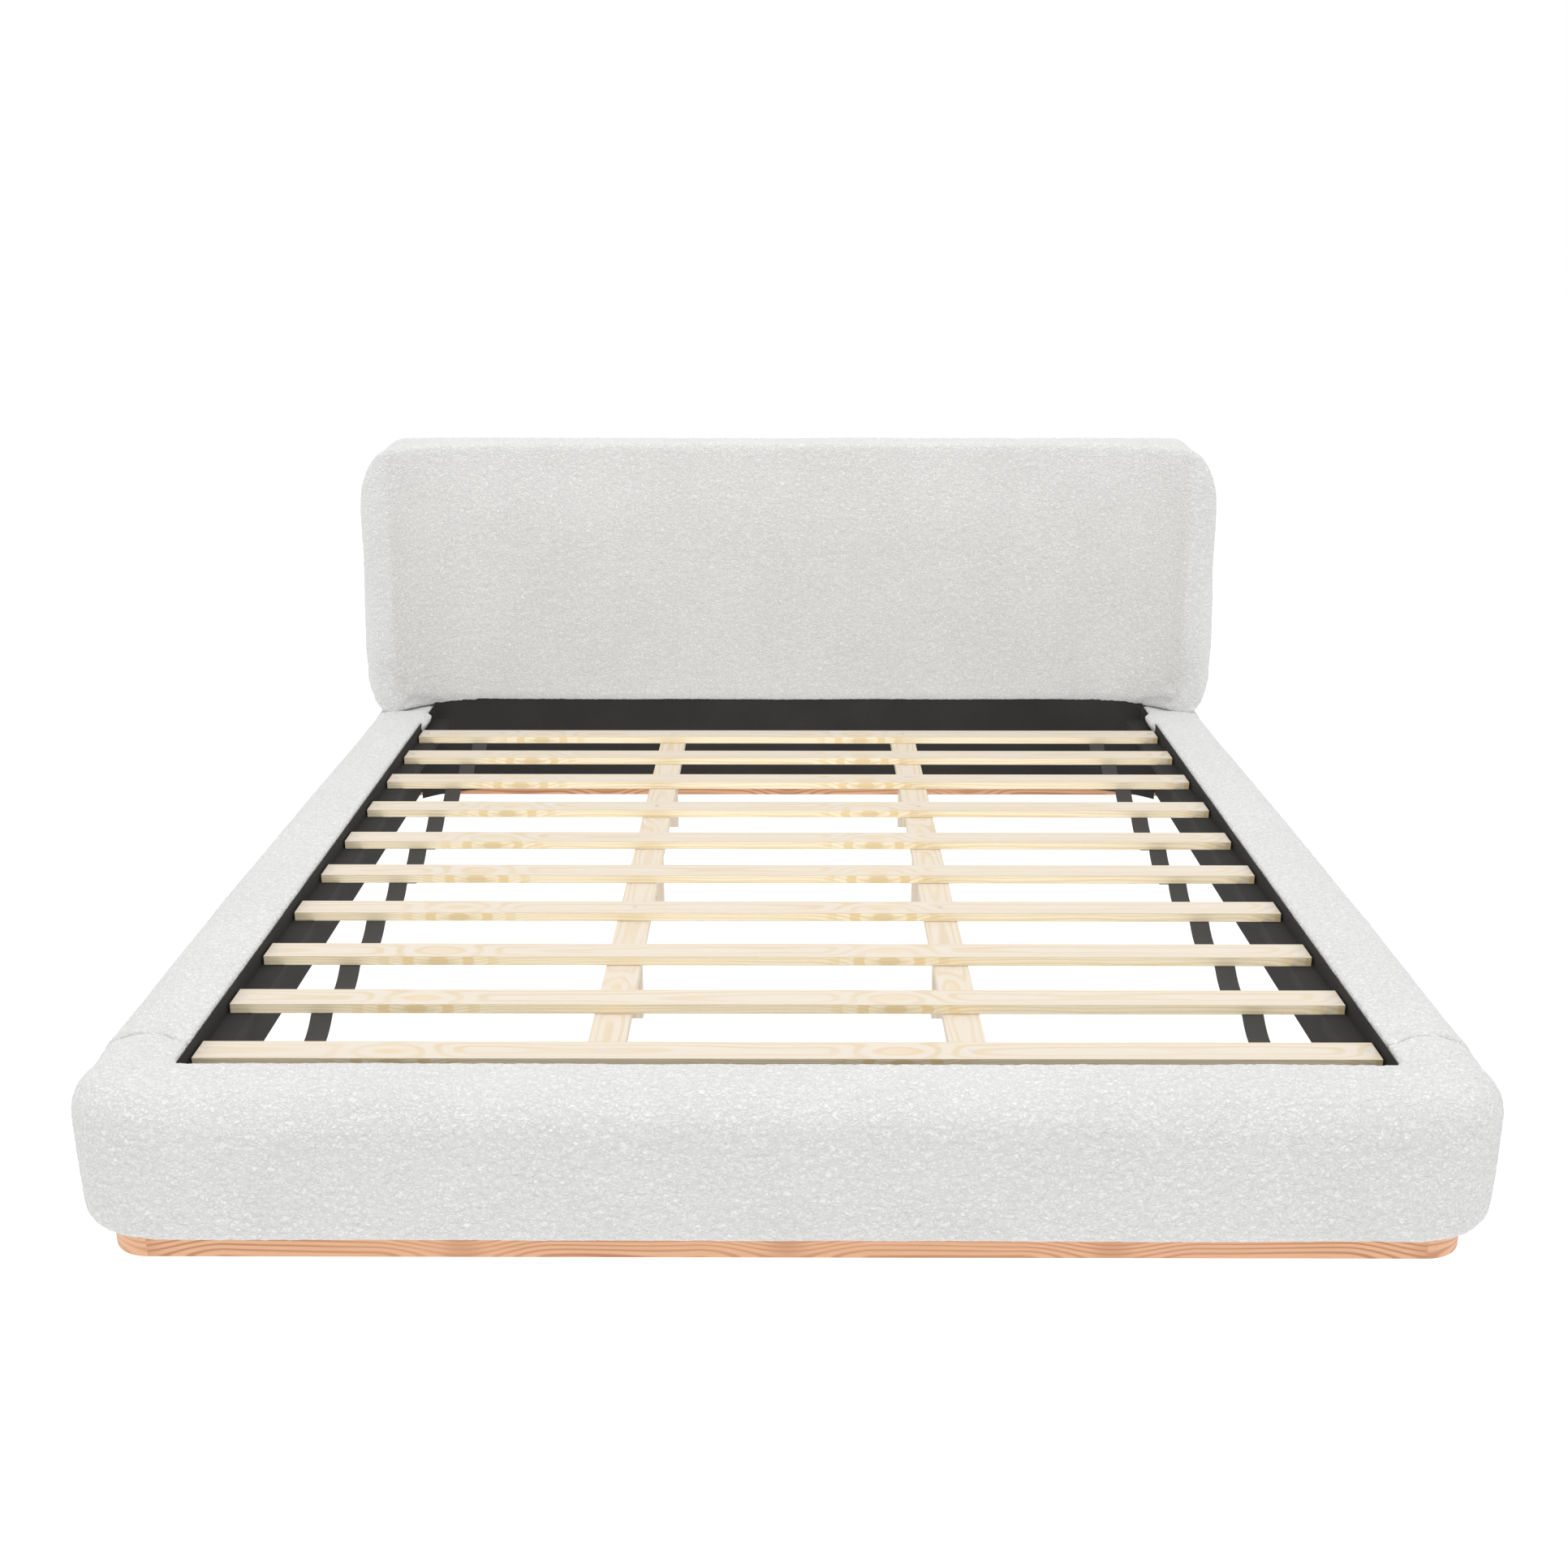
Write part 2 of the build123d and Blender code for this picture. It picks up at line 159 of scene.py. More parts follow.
def block(name: str, low: Vector, high: Vector) -> Piece:
    """A solid block between two corners, to be shaped further.

    Args:
        name: The new piece's name.
        low: Its lowest corner.
        high: Its highest corner.

    Returns:
        The new piece.
    """
    low, high = Vector(low), Vector(high)
    bpy.ops.mesh.primitive_cube_add(size=1, location=(low + high) / 2)
    piece = bpy.context.active_object
    piece.name = piece.data.name = name
    piece.scale = high - low
    return place(piece)


def flat(name: str, low: Vector, high: Vector, turn: tuple[float, float, float]) -> Piece:
    """A flat rectangle between two corners that share one coordinate.

    Args:
        name: The new piece's name.
        low: Its lowest corner.
        high: Its highest corner.
        turn: The turn, in radians, that takes a level plane to this one.

    Returns:
        The new piece.
    """
    low, high = Vector(low), Vector(high)
    bpy.ops.mesh.primitive_plane_add(size=1, location=(low + high) / 2, rotation=turn)
    piece = bpy.context.active_object
    piece.name = piece.data.name = name
    spans = high - low
    across = spans.z if abs(turn[1]) > 0.1 else spans.x
    along = spans.z if abs(turn[0]) > 0.1 else spans.y
    piece.scale = (across, along, 1)
    return place(piece)


def modify(piece: Piece, kind: str, **settings: object) -> Piece:
    """Add one modifier to a piece and apply it.

    Args:
        piece: The piece to change.
        kind: The modifier's type.
        settings: The modifier's own settings.

    Returns:
        The same piece.
    """
    only(piece)
    bpy.ops.object.modifier_add(type=kind)
    modifier = piece.modifiers[-1]
    for name, value in settings.items():
        setattr(modifier, name, value)
    bpy.ops.object.modifier_apply(modifier=modifier.name)
    return piece


def combine(piece: Piece, tool: Piece, cut: Cut) -> Piece:
    """Combine a piece with a tool solid, which is then removed."""
    modify(piece, "BOOLEAN", object=tool, operation=cut.value, solver="EXACT")
    bpy.data.objects.remove(tool)
    return piece


def round_edges(piece: Piece, test: Test, radius: float, segments: int) -> None:
    """Round the edges of a piece that pass a test.

    Args:
        piece: The piece to shape.
        test: Says whether a point lies on a wanted edge.
        radius: The rounding's radius.
        segments: How many steps the rounding has.
    """
    with editing(piece, "EDGE"):
        if choose(piece, "edges", test):
            bpy.ops.mesh.bevel(offset=radius, segments=segments, affect="EDGES")


def outward(piece: Piece) -> Piece:
    """Merge what coincides, and turn every face outward."""
    with editing(piece, "VERT"):
        bpy.ops.mesh.remove_doubles(threshold=0.02 * MM)
        bpy.ops.mesh.select_all(action="SELECT")
        bpy.ops.mesh.normals_make_consistent(inside=False)
    return piece


def mirrored(piece: Piece, name: str) -> Piece:
    """A copy of a piece on the other side of the bed, with its own mesh.

    Args:
        piece: The finished piece.
        name: The copy's name.

    Returns:
        The copy.
    """
    only(piece)
    bpy.ops.object.duplicate()
    copy = bpy.context.active_object
    copy.name = copy.data.name = name
    copy.scale.x = -1
    place(copy)
    with editing(copy):
        bpy.ops.mesh.normals_make_consistent(inside=False)
    return copy


def smooth(piece: Piece) -> Piece:
    """Shade a piece smoothly all over."""
    only(piece)
    bpy.ops.object.shade_smooth()
    return piece


def bulk(piece: Piece) -> str:
    """A piece's count of faces, for the log."""
    return f"{piece.name}: {len(piece.data.polygons)} faces"


# Finishes: each one is a small recipe for a node material.


class Shader:
    """A material's node tree, built one node at a time on the piece's Object coordinates."""

    def __init__(self, name: str, roughness: float, metallic: float = 0.0) -> None:
        """Start a material with a plain surface.

        Args:
            name: The material's name.
            roughness: The surface's roughness.
            metallic: 1 for bare metal, 0 for anything else.
        """
        self.material = bpy.data.materials.new(name)
        self.material.use_nodes = True
        self.tree = self.material.node_tree
        self.surface = self.tree.nodes["Principled BSDF"]
        self.surface.inputs["Roughness"].default_value = roughness
        self.surface.inputs["Metallic"].default_value = metallic
        self.ground = self.tree.nodes.new("ShaderNodeTexCoord").outputs["Object"]

    def node(self, kind: str, inputs: dict[str | int, object], **settings: object) -> bpy.types.Node:
        """Add one node, with its inputs linked to sockets or set to values."""
        made = self.tree.nodes.new(kind)
        for name, value in settings.items():
            setattr(made, name, value)
        for name, value in inputs.items():
            if isinstance(value, bpy.types.NodeSocket):
                self.tree.links.new(value, made.inputs[name])
            else:
                made.inputs[name].default_value = value
        return made

    def mapped(self, shift: Vector = (0, 0, 0), scale: Vector = (1, 1, 1), source: Socket = None) -> Socket:
        """Coordinates that are shifted after they are scaled."""
        found = self.node(
            "ShaderNodeMapping",
            {"Vector": source or self.ground, "Location": shift, "Scale": scale},
        )
        return found.outputs["Vector"]

    def noise(self, where: Socket, scale: float, detail: float = 2.0, rough: float = 0.5) -> Socket:
        """Soft random clouds, from 0 to 1."""
        inputs = {"Vector": where, "Scale": scale, "Detail": detail, "Roughness": rough}
        return self.node("ShaderNodeTexNoise", inputs).outputs["Fac"]

    def scatter(self, where: Socket, scale: float) -> Socket:
        """Random directions that change slowly with place."""
        inputs = {"Vector": where, "Scale": scale, "Detail": 1.0}
        return self.node("ShaderNodeTexNoise", inputs).outputs["Color"]

    def cells(self, where: Socket, scale: float, softness: float = 0.4) -> Socket:
        """The distance to the nearest of many scattered points."""
        inputs = {"Vector": where, "Scale": scale, "Smoothness": softness}
        return self.node("ShaderNodeTexVoronoi", inputs, feature="SMOOTH_F1").outputs["Distance"]

    def sum(self, work: str, first: object, second: object = 0.0, third: object = 0.0) -> Socket:
        """One step of arithmetic on numbers."""
        inputs = {0: first, 1: second, 2: third}
        return self.node("ShaderNodeMath", inputs, operation=work).outputs[0]

    def shove(self, work: str, first: object, second: object) -> Socket:
        """One step of arithmetic on vectors."""
        return self.node("ShaderNodeVectorMath", {0: first, 1: second}, operation=work).outputs[0]

    def length(self, where: Socket) -> Socket:
        """The length of a vector."""
        return self.node("ShaderNodeVectorMath", {0: where}, operation="LENGTH").outputs["Value"]

    def split(self, where: Socket) -> list[Socket]:
        """The three coordinates of a vector."""
        return list(self.node("ShaderNodeSeparateXYZ", {"Vector": where}).outputs)

    def join(self, x: object, y: object, z: object) -> Socket:
        """A vector from three coordinates."""
        return self.node("ShaderNodeCombineXYZ", {"X": x, "Y": y, "Z": z}).outputs["Vector"]

    def fade(self, value: Socket, low: float, high: float, start: float = 0.0, end: float = 1.0) -> Socket:
        """A smooth change from start to end as the value goes from low to high."""
        inputs = {"Value": value, "From Min": low, "From Max": high, "To Min": start, "To Max": end}
        return self.node("ShaderNodeMapRange", inputs, interpolation_type="SMOOTHSTEP").outputs["Result"]

    def blend(self, share: object, first: object, second: object, mode: str = "MIX") -> Socket:
        """A mix of two colours."""
        made = self.tree.nodes.new("ShaderNodeMix")
        made.data_type, made.blend_type = "RGBA", mode
        sockets = {0: share, 6: first, 7: second}
        for index, value in sockets.items():
            if isinstance(value, bpy.types.NodeSocket):
                self.tree.links.new(value, made.inputs[index])
            else:
                made.inputs[index].default_value = value if index == 0 else (*value, 1.0)
        return made.outputs[2]

    def paint(self, colour: Socket) -> None:
        """Give the surface its colour."""
        self.tree.links.new(colour, self.surface.inputs["Base Color"])

    def relief(self, height: Socket, depth: float, below: Socket = None) -> Socket:
        """Raise the surface by a height pattern of a depth in metres."""
        inputs = {"Height": height, "Distance": depth, "Strength": 1.0}
        if below is not None:
            inputs["Normal"] = below
        normal = self.node("ShaderNodeBump", inputs).outputs["Normal"]
        self.tree.links.new(normal, self.surface.inputs["Normal"])
        return normal

    def gloss(self, value: Socket, low: float, high: float) -> None:
        """Let the roughness follow a pattern between two values."""
        self.tree.links.new(self.fade(value, 0.0, 1.0, low, high), self.surface.inputs["Roughness"])


@dataclass(frozen=True)
class Boucle:
    """Off-white looped fabric with small soft nubs, and painted shade in the hollows between them."""

    crest: Colour = (0.83, 0.83, 0.825)
    # hollow is painted shade: the darker colour of the hollows between the nubs
    hollow: Colour = (0.65, 0.65, 0.645)
    loops_per_metre: float = 230.0
    curls_per_metre: float = 620.0
    clumps_per_metre: float = 105.0
    relief: float = 3.0 * MM

    def material(self) -> bpy.types.Material:
        """The fabric's material."""
        made = Shader("boucle cloth", roughness=0.95)
        made.surface.inputs["Sheen Weight"].default_value = 0.25
        made.surface.inputs["Sheen Roughness"].default_value = 0.6
        wander = made.shove("MULTIPLY", made.scatter(made.ground, 90.0), (0.012, 0.012, 0.012))
        where = made.mapped(scale=(0.8, 1.0, 1.35), source=made.shove("ADD", made.ground, wander))
        loops = made.fade(made.cells(where, self.loops_per_metre), 0.05, 0.75, 1.0, 0.0)
        curls = made.noise(where, self.curls_per_metre, 3.0, 0.6)
        clumps = made.noise(where, self.clumps_per_metre, 2.0)
        height = made.sum("MULTIPLY_ADD", curls, 0.45, made.sum("MULTIPLY", loops, 0.45))
        height = made.sum("MULTIPLY_ADD", clumps, 0.35, height)
        made.relief(height, self.relief)
        # Painted shade: the colour darkens where the nubs' height is low, in the hollows between them.
        shade = made.blend(made.fade(height, 0.34, 0.88), self.hollow, self.crest)
        drift = made.fade(made.noise(made.ground, 5.0, 3.0), 0.3, 0.7, 0.965, 1.0)
        made.paint(made.blend(1.0, shade, made.join(drift, drift, drift), "MULTIPLY"))
        return made.material


@dataclass(frozen=True)
class Lining:
    """Black bonded lining, faintly dimpled all over."""

    dark: Colour = (0.013, 0.0125, 0.0115)
    light: Colour = (0.026, 0.025, 0.023)
    dimples_per_metre: float = 420.0

    def material(self) -> bpy.types.Material:
        """The lining's material."""
        made = Shader("black lining", roughness=0.9)
        fibres = made.noise(made.ground, 900.0, 3.0, 0.7)
        dimples = made.cells(made.ground, self.dimples_per_metre, 0.2)
        height = made.sum("MULTIPLY_ADD", dimples, 0.7, made.sum("MULTIPLY", fibres, 0.4))
        made.relief(height, 0.35 * MM)
        worn = made.sum("MULTIPLY_ADD", made.noise(made.ground, 6.0, 3.0), 0.5, made.sum("MULTIPLY", fibres, 0.5))
        made.paint(made.blend(made.fade(worn, 0.25, 0.8), self.dark, self.light))
        made.gloss(fibres, 0.82, 0.98)
        return made.material


@dataclass(frozen=True)
class Webbing:
    """Charcoal webbing with a plain weave along the tape, painted darker in the weave's low places as painted shade."""

    valley_shade: Colour = (0.024, 0.0225, 0.0215)
    thread: Colour = (0.080, 0.075, 0.071)
    pitch: float = 1.8 * MM

    def material(self) -> bpy.types.Material:
        """The webbing's material."""
        made = Shader("charcoal webbing", roughness=0.8)
        x, y, _ = made.split(made.ground)
        turns = 2 * math.pi / self.pitch
        warp = made.sum("SINE", made.sum("MULTIPLY", x, turns))
        weft = made.sum("SINE", made.sum("MULTIPLY", y, turns))
        weave = made.fade(made.sum("MULTIPLY", warp, weft), -1.0, 1.0)
        fuzz = made.noise(made.ground, 700.0, 2.0)
        height = made.sum("MULTIPLY_ADD", fuzz, 0.3, weave)
        made.relief(height, 0.4 * MM)
        # Painted shade: the weave is darker where its height is low.
        made.paint(made.blend(made.fade(height, 0.1, 1.1), self.valley_shade, self.thread))
        made.gloss(fuzz, 0.7, 0.9)
        return made.material


@dataclass(frozen=True)
class Pine:
    """Plain-sawn pine with growth rings that open round evenly spaced knots."""

    name: str
    pale: Colour
    ring: Colour
    knot: Colour
    knot_at: float
    knot_spacing: float
    knot_size: tuple[float, float] = (0.045, 0.012)
    ring_width: float = 6.5 * MM
    ring_strength: float = 0.75
    roughness: float = 0.5
    arc_width: float = 46 * MM
    # Painted light: lighter copies of the pale and ring colours, for a slat's narrow sides.
    painted_light_side_pale: Colour = (0.97, 0.87, 0.66)
    painted_light_side_ring: Colour = (0.80, 0.60, 0.29)

    def material(self, centre: Vector, grain: Grain, seed: float = 0.0, face: float = 0.0) -> bpy.types.Material:
        """The material of one board.

        Args:
            centre: The middle of the board.
            grain: The axis that the grain runs along.
            seed: Moves the fine pattern, so that no two boards match.
            face: Half the board's thickness, for one whose narrow sides are sawn through its knots and painted lighter
                than its top and bottom, as painted light.

        Returns:
            The board's material.
        """
        made = Shader(self.name, self.roughness)
        parts = made.split(made.mapped(shift=-Vector(centre)))
        along = parts[grain.value]
        across, depth = [parts[i] for i in range(3) if i != grain.value]
        pale: object = self.pale
        ring: object = self.ring
        # A slat's narrow sides take the lighter side colours, which paint light onto them.
        if face:
            side = made.fade(made.sum("ABSOLUTE", depth), face - 1.6 * MM, face - 0.2 * MM, 1.0, 0.0)
            kept = made.sum("MULTIPLY", across, made.sum("SUBTRACT", 1.0, side))
            across = made.sum("MULTIPLY_ADD", depth, side, kept)
            pale = made.blend(side, self.pale, self.painted_light_side_pale)
            ring = made.blend(side, self.ring, self.painted_light_side_ring)
        board = made.join(along, across, depth)
        wrapped = made.sum("WRAP", made.sum("SUBTRACT", along, self.knot_at), self.knot_spacing / 2, -self.knot_spacing / 2)
        slow = made.mapped((seed, 0, 0), (1.6, 9.0, 9.0), board)
        wander = made.sum("MULTIPLY", made.noise(slow, 1.0, 2.0), 0.030)
        heart = made.length(made.join(0.0, across, made.sum("ADD", depth, 0.022)))
        near = made.join(
            made.sum("DIVIDE", wrapped, self.knot_size[0]), made.sum("DIVIDE", made.sum("ADD", across, 0.004), self.knot_size[1]), 0.0
        )
        far = made.length(near)
        opening = made.fade(far, 0.0, 3.2, 0.020, 0.0)
        rings = made.sum("ADD", made.sum("ADD", heart, wander), opening)
        wave = made.sum("SINE", made.sum("MULTIPLY", rings, 2 * math.pi / self.ring_width))
        bands = made.fade(wave, -0.2, 1.0)
        fibres = made.noise(made.mapped((seed * 3, 0, 0), (14.0, 700.0, 700.0), board), 1.0, 3.0, 0.65)
        blush = made.noise(made.mapped((seed * 2, 0, 0), (2.2, 14.0, 14.0), board), 1.0, 2.0)
        share = made.sum("MULTIPLY", bands, made.fade(blush, 0.25, 0.75, 0.35 * self.ring_strength, self.ring_strength))
        colour = made.blend(share, pale, ring)
        colour = made.blend(made.fade(fibres, 0.35, 0.8, 0.0, 0.35), colour, ring)
        if face:
            reach = made.length(made.join(wrapped, made.sum("MULTIPLY", depth, 2.2), made.sum("MULTIPLY", wander, 0.5)))
            arcs = made.fade(made.sum("SINE", made.sum("MULTIPLY", reach, 2 * math.pi / self.arc_width)), -0.1, 0.5)
            arcs = made.sum("MULTIPLY", arcs, made.fade(made.sum("ABSOLUTE", wrapped), 0.05, 0.15, 0.75, 0.0))
            # The arcs on the narrow sides are drawn in the lighter side ring colour, which is painted light.
            colour = made.blend(made.sum("MULTIPLY", arcs, side), colour, self.painted_light_side_ring)
        colour = made.blend(made.fade(far, 0.35, 1.15, 0.5, 0.0), colour, self.knot)
        made.paint(colour)
        made.relief(made.sum("MULTIPLY_ADD", fibres, 0.5, made.sum("MULTIPLY", bands, -0.5)), 0.25 * MM)
        made.gloss(fibres, self.roughness - 0.08, self.roughness + 0.14)
        return made.material


@dataclass(frozen=True)
class SawnBoard:
    """Plain laminated board with a fine flake."""

    pale: Colour = (0.66, 0.50, 0.33)
    dark: Colour = (0.42, 0.29, 0.17)

    def material(self) -> bpy.types.Material:
        """The board's material."""
        made = Shader("laminated board", roughness=0.75)
        flake = made.noise(made.mapped(scale=(1.0, 1.0, 2.5)), 160.0, 3.0, 0.7)
        layer = made.fade(made.sum("SINE", made.sum("MULTIPLY", made.split(made.ground)[2], 620.0)), -1.0, 1.0)
        share = made.sum("MULTIPLY_ADD", layer, 0.25, made.sum("MULTIPLY", flake, 0.8))
        made.paint(made.blend(made.fade(share, 0.3, 0.9), self.pale, self.dark))
        made.relief(flake, 0.2 * MM)
        made.gloss(flake, 0.65, 0.9)
        return made.material


@dataclass(frozen=True)
class Steel:
    """Bare or coated steel, with faint marks from making."""

    name: str
    colour: Colour
    worn: Colour
    roughness: float
    metallic: float

    def material(self) -> bpy.types.Material:
        """The steel's material."""
        made = Shader(self.name, self.roughness, self.metallic)
        marks = made.noise(made.mapped(scale=(1.0, 6.0, 1.0)), 240.0, 3.0, 0.7)
        made.paint(made.blend(made.fade(marks, 0.45, 0.8), self.colour, self.worn))
        made.relief(marks, 0.05 * MM)
        made.gloss(marks, self.roughness - 0.07, self.roughness + 0.12)
        return made.material


@dataclass(frozen=True)
class Finishes:
    """Every finish on the bed."""

    boucle: Boucle = Boucle()
    lining: Lining = Lining()
    webbing: Webbing = Webbing()
    slat_pine: Pine = Pine(
        "pale pine", (0.705, 0.638, 0.55), (0.635, 0.505, 0.32), (0.70, 0.55, 0.33), -0.65, 0.84
    )
    plinth_pine: Pine = Pine(
        "orange pine", (0.77, 0.44, 0.26), (0.46, 0.20, 0.09), (0.48, 0.22, 0.11), 0.0, 0.515,
        ring_width=7.5 * MM, ring_strength=1.0, roughness=0.38,
    )
    board: SawnBoard = SawnBoard()
    bracket: Steel = Steel("black coated steel", (0.035, 0.035, 0.035), (0.06, 0.06, 0.06), 0.5, 0.0)
    fastener: Steel = Steel("zinc plated steel", (0.80, 0.80, 0.79), (0.66, 0.66, 0.66), 0.34, 1.0)


def dress(piece: Piece, material: bpy.types.Material) -> None:
    """Give a piece one material all over."""
    piece.data.materials.clear()
    piece.data.materials.append(material)


def register(piece: Piece, slot: str, *nodes: str) -> Piece:
    """Tie a finished piece to the frame.

    Args:
        piece: The finished piece.
        slot: The name of a material slot; not used.
        nodes: The frame's nodes that it stands for.

    Returns:
        The same piece.
    """
    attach(piece, "root")
    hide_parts(*nodes)
    log.info(bulk(piece))
    return piece


# Padded units.


@dataclass
class PaddedUnit:
    """What every padded unit shares: how its form becomes a soft, nubbed cover."""

    cloth: bpy.types.Material
    inset: float = 3 * MM
    voxel: float = 12 * MM
    softening: int = 3
    pressure: float = 4.0
    swell_cap: float = 6 * MM
    frames: int = 20
    nub: float = 2.0 * MM
    nub_size: float = 9 * MM
    slump: float = 3.0 * MM
    slump_size: float = 0.22

    def soften(self, piece: Piece, loose: Test) -> None:
        """Turn a crisp form into an even skin with soft edges.

        Args:
            piece: The crisp form.
            loose: Says whether the edges are soft at a point.
        """
        modify(piece, "REMESH", mode="VOXEL", voxel_size=self.voxel)
        group = piece.vertex_groups.new(name="loose")
        group.add([v.index for v in piece.data.vertices if loose(v.co)], 1.0, "REPLACE")
        modify(piece, "SMOOTH", factor=0.5, iterations=self.softening, vertex_group=group.name)
        piece.vertex_groups.clear()

    def loose(self, p: Vector) -> bool:
        """Whether the padding's edges are soft at a point."""
        return True

    def swell(self, piece: Piece, held: Test) -> None:
        """Let the padding push the cover outward in a short cloth simulation.

        Args:
            piece: The softened form.
            held: Says whether the cover is stapled down at a point.
        """
        rest = [v.co.copy() for v in piece.data.vertices]
        group = piece.vertex_groups.new(name="stapled")
        group.add([v.index for v in piece.data.vertices if held(v.co)], 1.0, "REPLACE")
        only(piece)
        bpy.ops.object.modifier_add(type="CLOTH")
        modifier = piece.modifiers[-1]
        cloth = modifier.settings
        cloth.quality = 4
        cloth.use_pressure = True
        cloth.uniform_pressure_force = self.pressure
        cloth.vertex_group_mass = group.name
        cloth.effector_weights.gravity = 0.0
        modifier.collision_settings.use_collision = False
        modifier.point_cache.frame_end = self.frames
        scene = bpy.context.scene
        for number in range(1, self.frames + 1):
            scene.frame_set(number)
        bpy.ops.object.modifier_apply(modifier=modifier.name)
        scene.frame_set(1)
        most = 0.0
        for vertex, start in zip(piece.data.vertices, rest):
            moved = vertex.co - start
            most = max(most, moved.length)
            if moved.length > self.swell_cap:
                vertex.co = start + moved.normalized() * self.swell_cap
        piece.vertex_groups.clear()
        log.info("%s swelled by up to %.1f mm before its cap", piece.name, most / MM)

    def nap(self, piece: Piece) -> None:
        """Raise the slow unevenness and the small nubs of the looped cover."""
        modify(piece, "SUBSURF", levels=1, render_levels=1)
        slow = bpy.data.textures.new("cover slump", "CLOUDS")
        slow.noise_scale = self.slump_size
        loops = bpy.data.textures.new("cover nubs", "VORONOI")
        loops.noise_scale = self.nub_size
        for texture, strength in ((slow, self.slump), (loops, self.nub)):
            modify(
                piece, "DISPLACE", texture=texture, strength=strength, mid_level=0.5,
                texture_coords="LOCAL",
            )
            bpy.data.textures.remove(texture)

    def shape(self, piece: Piece) -> None:
        """Shape the softened form further, before the padding swells."""

    def cover(self, piece: Piece, held: Test, fill: float, *nodes: str) -> Piece:
        """Take a crisp form all the way to a finished padded piece.

        Args:
            piece: The crisp form.
            held: Says whether the cover is stapled down at a point.
            fill: How full the padding is, from 0 to 1; not used.
            nodes: The frame's nodes that the piece stands for.

        Returns:
            The finished piece.
        """
        self.soften(piece, self.loose)
        self.shape(piece)
        self.swell(piece, held)
        self.nap(piece)
        smooth(piece)
        dress(piece, self.cloth)
        register(piece, "boucle", *nodes)
        return piece


@dataclass
class FramePad(PaddedUnit):
    """The section that the footboard and the side rails share."""

    wall: float = 163 * MM
    outer_inset: float = -1.5 * MM
    top_inset: float = -0.8 * MM
    bottom_rise: float = 8 * MM
    top_inner_radius: float = 3 * MM
    top_outer_radius: float = 60 * MM
    bottom_radius: float = 8 * MM
    board_reach: float = 85 * MM
    board_top: float = 249.5 * MM
    lining_top: float = 282 * MM
    lining_gap: float = 2 * MM
    seam_overlap: float = 2 * MM
    seam_swing: float = 34 * MM
    seam_bend: float = 52 * MM

    def __post_init__(self) -> None:
        """Read the frame's own sizes from its nodes."""
        low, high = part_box("foot_cover")
        self.half = high.x
        self.well_half = high.x - self.wall
        self.foot_wall = low.y + self.wall
        self.seam = high.y
        self.bottom, self.top = low.z, high.z

    def section(self, name: str, side: Side, y: float, solid: bool) -> Piece:
        """One flat section of the frame at a place along a side.

        Args:
            name: The new piece's name.
            side: The side of the bed.
            y: The place along the bed.
            solid: Whether it is the padded outline, or the room for the boards inside it.

        Returns:
            The section, standing across the bed.
        """
        if solid:
            inner, outer = self.lining_gap, self.wall - self.outer_inset
            low, high = self.bottom + 1 * MM, self.top - self.top_inset
            rise = self.bottom_rise
        else:
            inner, outer = self.lining_gap / 2, self.board_reach
            low, high = self.bottom - 0.01, self.board_top
        ends = sorted(side.value * (self.well_half + u) for u in (inner, outer))
        piece = flat(name, (ends[0], y, low), (ends[1], y, high), (math.pi / 2, 0, 0))
        if solid:
            with editing(piece, "VERT"):
                edge = side.value * (self.well_half + outer)
                choose(piece, "verts", lambda p: abs(p.x - edge) < 1 * MM and p.z < low + 1 * MM)
                bpy.ops.transform.translate(value=(0, 0, rise))
            corners = (
                (inner, high, self.top_inner_radius),
                (outer, high, self.top_outer_radius),
                (outer, low + rise, self.bottom_radius),
            )
            for u, z, radius in corners:
                at = Vector((side.value * (self.well_half + u), y, z))
                with editing(piece, "VERT"):
                    choose(piece, "verts", lambda p: (p - at).length < 1 * MM)
                    bpy.ops.mesh.bevel(offset=radius, segments=8, affect="VERTICES")
        return piece

    def carry(self, piece: Piece, step: Vector) -> None:
        """Carry the open end of a section in a straight line."""
        bpy.ops.mesh.extrude_region_move(TRANSFORM_OT_translate={"value": step})

    def shape(self, piece: Piece) -> None:
        """Swing the seam toward the foot where it meets the well, as the cover is pulled over the corner."""
        for out in (-1, 1):
            with editing(piece, "VERT"):
                end = Vector((out * self.well_half, self.seam, self.top))
                if choose(piece, "verts", lambda p: (p - end).length < 16 * MM):
                    bpy.ops.transform.translate(
                        value=(0, -self.seam_swing, 0), use_proportional_edit=True,
                        proportional_edit_falloff="SMOOTH", proportional_size=self.seam_bend,
                    )

    def seam_end(self, p: Vector, u: float) -> bool:
        """Whether a point lies inside the seam between the footboard and a rail, away from its rim."""
        near = abs(p.y - self.seam) < 6 * MM
        return near and u < self.wall - 25 * MM and p.z < self.top - 25 * MM

    def inside_board(self, p: Vector, u: float) -> bool:
        """Whether a point lies where the cover is stapled to the boards, u outward from the well's wall."""
        hidden = u < self.board_reach + 6 * MM and p.z < self.board_top + 5 * MM
        return hidden or p.z < self.bottom + 6 * MM


